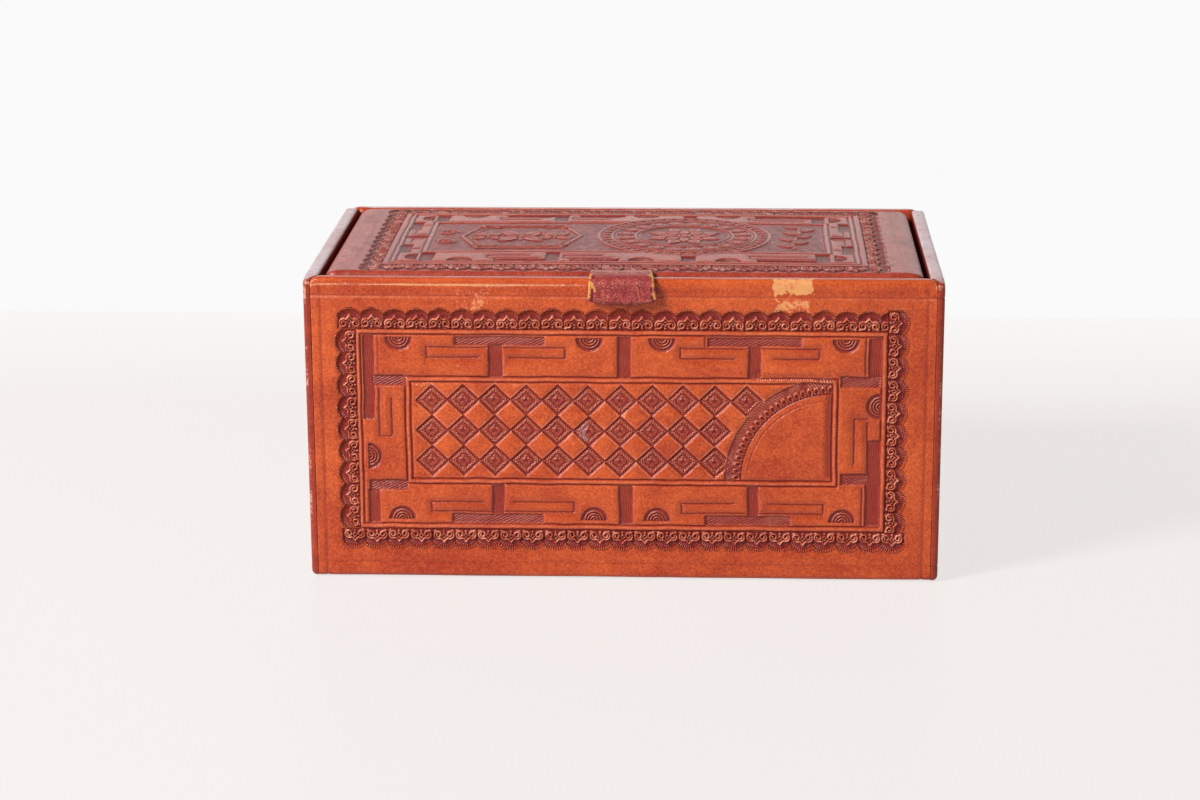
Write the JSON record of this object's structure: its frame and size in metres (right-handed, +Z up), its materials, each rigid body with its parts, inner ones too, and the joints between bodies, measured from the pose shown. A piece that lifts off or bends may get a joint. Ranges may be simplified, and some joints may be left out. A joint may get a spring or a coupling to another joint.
{
  "type": "tooled leather box",
  "caption": "Rectangular keepsake box of thin boards covered in tooled leather, with a set-in lid on a leather hinge and a leather pull tab over the front rim.",
  "frame": {"origin": "centre of the footprint, pull tab included, on the surface that the box stands on", "axes": "+X along the width, to the right of someone facing the front; +Y to the back, where the hinge is; +Z up"},
  "size_m": [0.254, 0.1436, 0.1276],
  "materials": {
    "tooled_leather": "glazed, stamped and stained",
    "lid_leather": "glazed, stamped and darkened by handling",
    "tab_leather": "worn and crackled",
    "hinge_leather": "plain, matt",
    "board": "raw",
    "lining": "suede-like lining on card",
    "base_felt": "felt",
    "pin_steel": "dark, tarnished"
  },
  "bodies": {
    "box": {"front_leather": "tooled_leather", "back_leather": "tooled_leather", "left_leather": "tooled_leather", "right_leather": "tooled_leather", "front_board": "board", "back_board": "board", "left_board": "board", "right_board": "board", "floor_board": "board", "front_liner": "lining", "back_liner": "lining", "left_liner": "lining", "right_liner": "lining", "floor_liner": "lining", "base_felt": "base_felt", "hinge_wall_leaf": "hinge_leather"},
    "lid": {"lid_leather": "lid_leather", "lid_board": "board", "lid_lining": "lining", "hinge_lid_leaf": "hinge_leather", "pull_tab_root": "tab_leather", "tab_pin": "pin_steel"},
    "tab": {"pull_tab": "tab_leather"}
  },
  "joints": [
    {"name": "lid_hinge", "type": "hinge", "parent": "box", "child": "lid", "pos_m": [0, 0.0647, 0.1228], "axis": [-1, 0, 0], "range_deg": [0, 95]},
    {"name": "tab_lift", "type": "hinge", "parent": "lid", "child": "tab", "pos_m": [0, -0.0598, 0.12715], "axis": [-1, 0, 0], "range_deg": [0, 40]}
  ]
}
